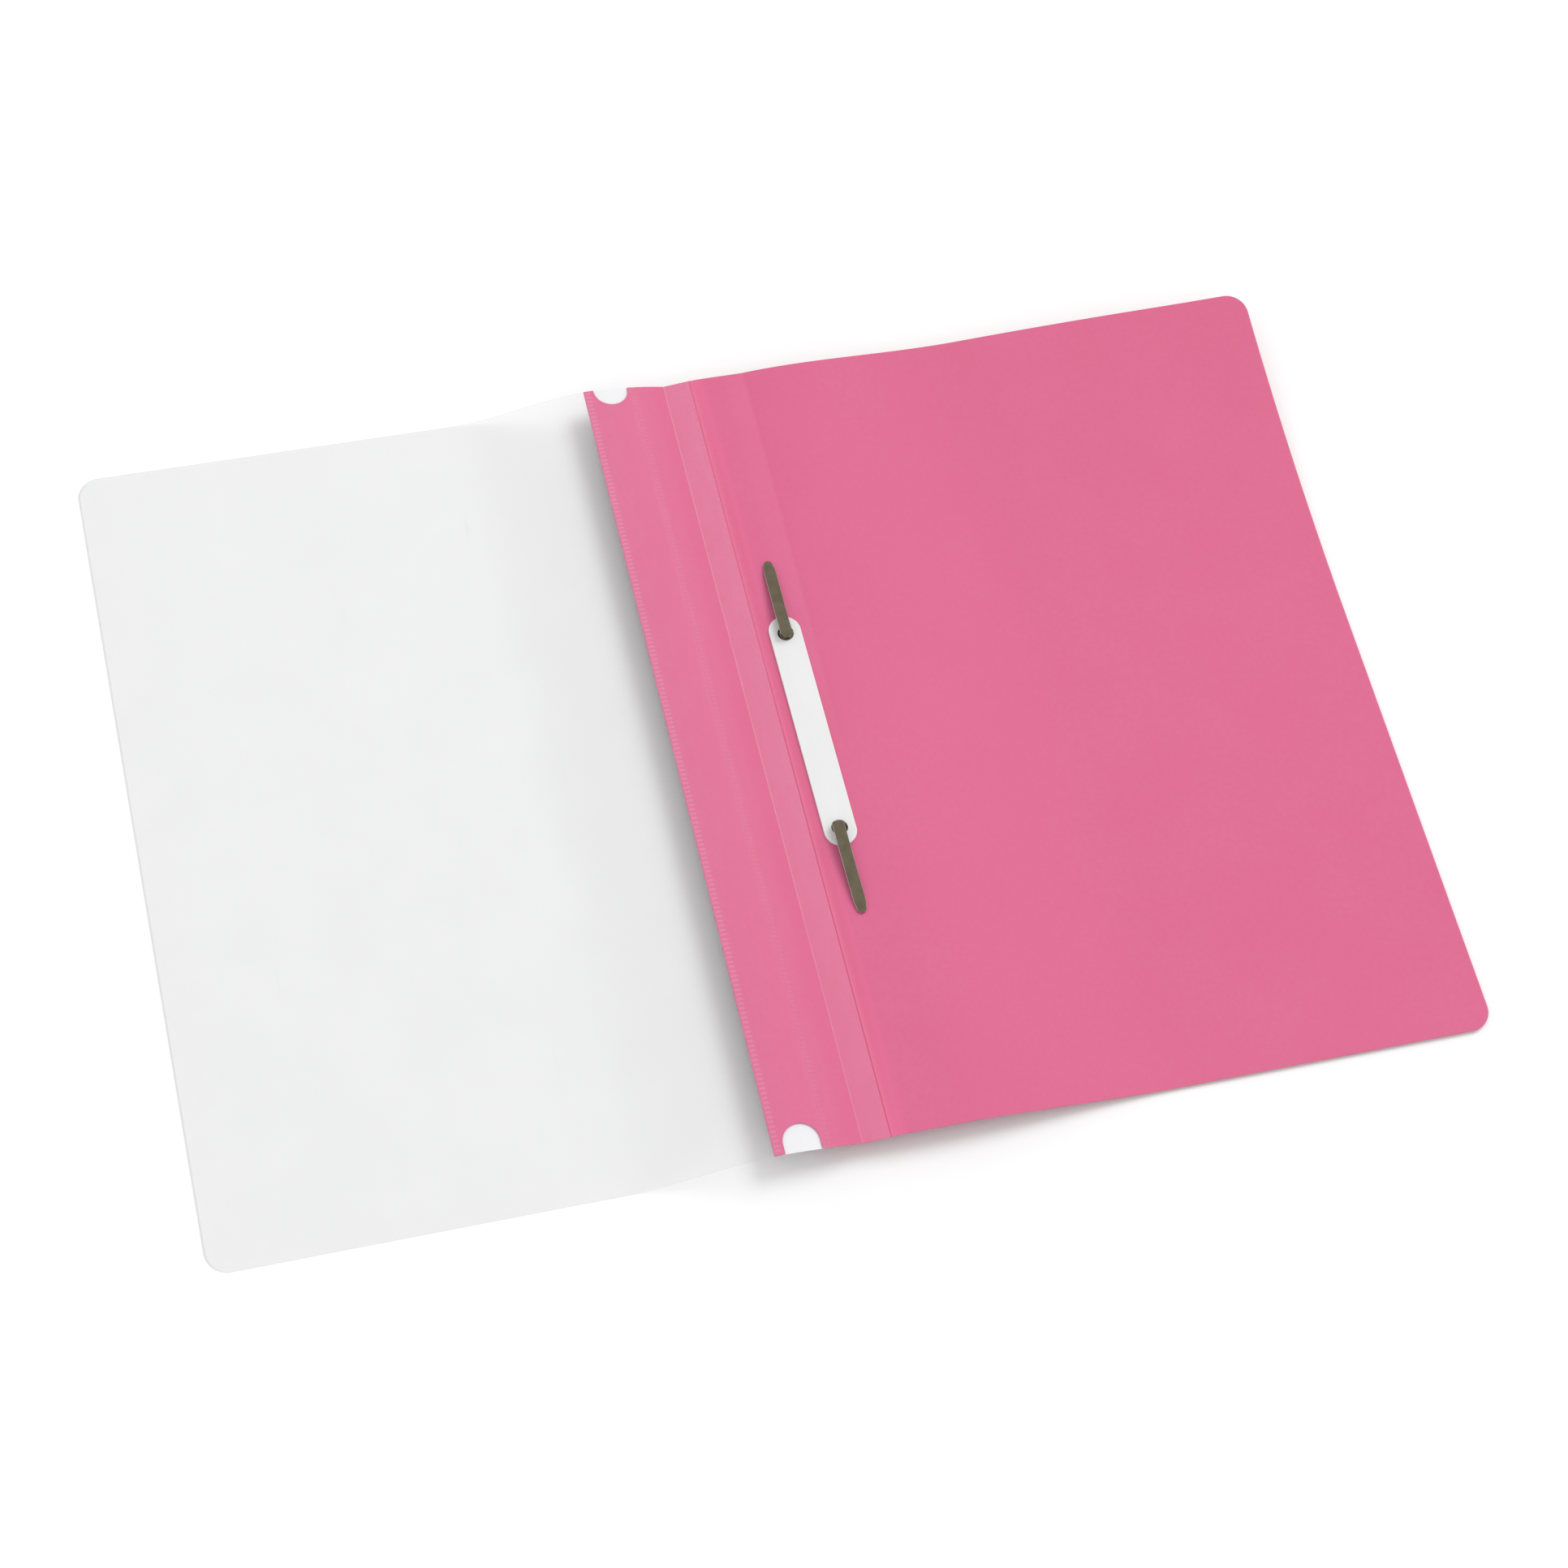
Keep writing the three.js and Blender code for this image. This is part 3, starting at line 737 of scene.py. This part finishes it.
def make_prong(name, end, prong_length, shift, lean, neck_half, shoulder, swell):
    """end is 1 at the top and -1 at the bottom; shift and lean are the prong's play sideways in its hole.
    The strip widens from its neck to full width from shoulder on, a share of the bend, and swell pushes
    out one side."""
    dip = math.asin(prong_drop / prong_length)
    handles = [
        Vector((root_y, bar_top_z)),
        Vector((root_y - bend_back, bar_top_z + neck_rise)),
        Vector((root_y + 0.1 * mm, fold_z + 0.05 * mm)),
        Vector((root_y + bend_top * math.cos(dip), fold_z - bend_top * math.sin(dip))),
    ]
    half_width = prong_width / 2
    path = [(root_y, stub_top_z, neck_half, 0.0), (root_y, stub_top_z + 0.5 * mm, neck_half, 0.0)]
    for k in range(21):
        t = k / 20
        weights = ((1 - t) ** 3, 3 * t * (1 - t) ** 2, 3 * t * t * (1 - t), t ** 3)
        point = sum((handle * weight for handle, weight in zip(handles, weights)), Vector((0, 0)))
        half = neck_half + (half_width - neck_half) * ease((t - shoulder) / 0.4)
        path.append((point.x, point.y, half, swell * line_at(t, 0.72, 0.16)))
    straight = prong_length - bend_top
    tapered = prong_length - tip_radius
    reaches = [bend_top + straight * k / 24 for k in range(1, 24)]
    reaches = [reach for reach in reaches if reach < tapered - 0.15 * mm]
    reaches += [tapered + tip_radius * math.sin(math.radians(a)) for a in (0, 15, 30, 45, 58, 70, 80, 86)]
    for reach in reaches:
        left = prong_length - reach
        widened = ease((left - tip_radius) / (taper_length - tip_radius))
        half = tip_radius + (half_width - tip_radius) * widened
        if left < tip_radius:
            half = math.sqrt(max(tip_radius ** 2 - (tip_radius - left) ** 2, tip_flat ** 2))
        path.append((root_y + reach * math.cos(dip), fold_z - reach * math.sin(dip), half, 0.0))
    points, faces, cut = [], [], []
    for k, (y, z, half, bulge) in enumerate(path):
        before, after = path[max(k - 1, 0)], path[min(k + 1, len(path) - 1)]
        along = Vector((after[0] - before[0], after[1] - before[1])).normalized()
        over = Vector((-along.y, along.x))
        x = hole_x + shift * ease((z - stub_top_z) / shift_rise) + lean * max(y - root_y, 0)
        flat, thick = half - edge_break, metal_thickness / 2
        ring = [
            (-flat, thick), (-half, thick - edge_break), (-half, -thick + edge_break), (-flat, -thick),
            (flat + bulge, -thick), (half + bulge, -thick + edge_break),
            (half + bulge, thick - edge_break), (flat + bulge, thick),
        ]
        for side, rise in ring:
            points.append((x + side, end * (y + over.x * rise), z + over.y * rise))
            cut.append(1.0 if side in (-half, half + bulge) else 0.0)
    for k in range(len(path) - 1):
        for j in range(8):
            n = (j + 1) % 8
            faces.append((8 * k + j, 8 * k + n, 8 * k + 8 + n, 8 * k + 8 + j))
    faces.append(tuple(range(7, -1, -1)))
    faces.append(tuple(8 * (len(path) - 1) + j for j in range(8)))
    if end < 0:
        faces = [face[::-1] for face in faces]
    mesh = bpy.data.meshes.new(name)
    mesh.from_pydata(points, [], faces)
    mesh.attributes.new("cut_edge", "FLOAT", "POINT").data.foreach_set("value", cut)
    prong = bpy.data.objects.new(name, mesh)
    bpy.context.collection.objects.link(prong)
    settle(prong, 40)
    prong.data.materials.append(bronze)
    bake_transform(prong)
    return prong


upper_prong = make_prong(
    "upper_prong_blade", 1, prong_length=33 * mm, shift=-0.56 * mm, lean=0.006,
    neck_half=1.2 * mm, shoulder=0.36, swell=0.5 * mm,
)
lower_prong = make_prong(
    "lower_prong_blade", -1, prong_length=35 * mm, shift=-0.65 * mm, lean=0.009,
    neck_half=1.05 * mm, shoulder=0.4, swell=0.0,
)
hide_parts("prong_top")
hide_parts("prong_bottom")


# The top bar: a flat strip of white plastic with round ends and two holes, laid over the sheets before the
# prongs are folded down on it. Punched from sheet, then tumbled, so that every edge is softly rounded.
bar_length, bar_width, bar_thickness, bar_hole_radius = 94 * mm, 11.8 * mm, 0.9 * mm, 2.9 * mm
bar_rounding = 0.22 * mm
bar_z = margin_z + sheet_thickness
bar_skew, bar_shift = math.radians(0.3), 0.35 * mm


def stadium(length, width, sides=28):
    """The plan outline of a strip with half-round ends."""
    radius, straight = width / 2, (length - width) / 2
    arc = [math.pi * k / sides for k in range(sides + 1)]
    upper = [(radius * math.cos(a), straight + radius * math.sin(a)) for a in arc]
    return upper + [(-x, -y) for x, y in upper]


outline = bpy.data.curves.new("top_bar_outline", "CURVE")
outline.dimensions, outline.fill_mode = "2D", "BOTH"
outline.extrude = bar_thickness / 2 - bar_rounding
outline.bevel_depth, outline.bevel_resolution = bar_rounding, 3
outline.offset = -bar_rounding
loops = [stadium(bar_length, bar_width)]
loops += [circle(0, end * hole_y, bar_hole_radius, 40) for end in (1, -1)]
for loop in loops:
    spline = outline.splines.new("POLY")
    spline.points.add(len(loop) - 1)
    for point, (x, y) in zip(spline.points, loop):
        point.co = (x, y, 0, 1)
    spline.use_cyclic_u = True
drawn = bpy.data.objects.new("top_bar_outline", outline)
bpy.context.collection.objects.link(drawn)
graph = bpy.context.evaluated_depsgraph_get()
mesh = bpy.data.meshes.new_from_object(drawn.evaluated_get(graph), depsgraph=graph)
bpy.data.objects.remove(drawn)
mesh.transform(Matrix.Rotation(bar_skew, 4, "Z"))
mesh.transform(Matrix.Translation((hole_x, bar_shift, bar_z + bar_thickness / 2)))
bar = bpy.data.objects.new("clamping_bar", mesh)
bpy.context.collection.objects.link(bar)
settle(bar, 35)

white_plastic, tree, shader = bare_material("white_polypropylene")
place = node(tree, "ShaderNodeTexCoord").outputs["Object"]
grain = noise(tree, place, 1800, 3, 0.6)
flow = noise(tree, place, 120, 3, 0.6, (1, 0.2, 1))
flowed = between(tree, flow, 0.3, 0.7)
bar_white = blend_colour(tree, flowed, (0.747, 0.747, 0.747, 1), (0.768, 0.768, 0.768, 1))
tree.links.new(bar_white, shader.inputs["Base Color"])
tree.links.new(between(tree, flow, 0.3, 0.7, 0.36, 0.48), shader.inputs["Roughness"])
bump = node(tree, "ShaderNodeBump", {"Strength": 0.2, "Distance": 0.03 * mm, "Height": grain})
tree.links.new(bump.outputs[0], shader.inputs["Normal"])
shader.inputs["IOR"].default_value = 1.49
bar.data.materials.clear()
bar.data.materials.append(white_plastic)
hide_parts("top_bar")
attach(bar, "bar")


# The studio: a plain white table top under a wide soft light from the upper right, with an even fill all
# round. The camera stands over the spine's lower end and leans a little, as it did for the photograph.
reach, table_z = 4.0, -0.05 * mm
table_corners = [(-reach, -reach, 0), (reach, -reach, 0), (reach, reach, 0), (-reach, reach, 0)]
floor_mesh = bpy.data.meshes.new("table_top")
floor_mesh.from_pydata(table_corners, [], [(0, 1, 2, 3)])
floor_mesh.transform(Matrix.Translation((0, 0, table_z)))
floor = bpy.data.objects.new("table_top", floor_mesh)
bpy.context.collection.objects.link(floor)
table, tree, shader = bare_material("table_white")
place = node(tree, "ShaderNodeTexCoord").outputs["Object"]
paint = noise(tree, place, 12, 2, 0.5)
table_tone = blend_colour(tree, paint, (0.905, 0.905, 0.905, 1), (0.915, 0.915, 0.915, 1))
tree.links.new(table_tone, shader.inputs["Base Color"])
shader.inputs["Roughness"].default_value = 0.9
shader.inputs["Specular IOR Level"].default_value = 0.1
floor.data.materials.append(table)

scene = bpy.context.scene
scene.view_settings.view_transform = "Standard"
world = bpy.data.worlds.new("studio")
world.use_nodes = True
fill = world.node_tree.nodes["Background"]
fill.inputs["Color"].default_value = (1, 1, 1, 1)
fill.inputs["Strength"].default_value = 0.85
scene.world = world


def soft_light(name, direction, distance, size, watts):
    """A round area light that stands in this direction and faces the folder."""
    lamp = bpy.data.lights.new(name, "AREA")
    lamp.shape, lamp.size, lamp.energy = "DISK", size, watts
    light = bpy.data.objects.new(name, lamp)
    towards = Vector(direction).normalized()
    light.location = towards * distance
    light.rotation_mode = "QUATERNION"
    light.rotation_quaternion = towards.to_track_quat("Z", "Y")
    bpy.context.collection.objects.link(light)
    return light


key = soft_light("key", (0.75, 0.55, 1.0), 6.0, 3.56, 153)
key.visible_glossy = False

azimuth, elevation, lean = math.radians(-23.37), math.radians(61.95), math.radians(11.19)
away = Vector((
    math.sin(azimuth) * math.cos(elevation), -math.cos(azimuth) * math.cos(elevation), math.sin(elevation)
))
aim, distance = Vector((1.86 * mm, -14.6 * mm, 0)), 1156.5 * mm
level_right = (-away).cross(Vector((0, 0, 1))).normalized()
level_up = level_right.cross(-away)
right = math.cos(lean) * level_right + math.sin(lean) * level_up
up = math.cos(lean) * level_up - math.sin(lean) * level_right
lens = bpy.data.cameras.new("photo_camera")
lens.sensor_width, lens.lens = 36, 74.53
lens.clip_start, lens.clip_end = 0.01, 50
camera = bpy.data.objects.new("photo_camera", lens)
camera.matrix_world = Matrix((right, up, away)).transposed().to_4x4()
camera.location = aim + away * distance
bpy.context.collection.objects.link(camera)
scene.camera = camera
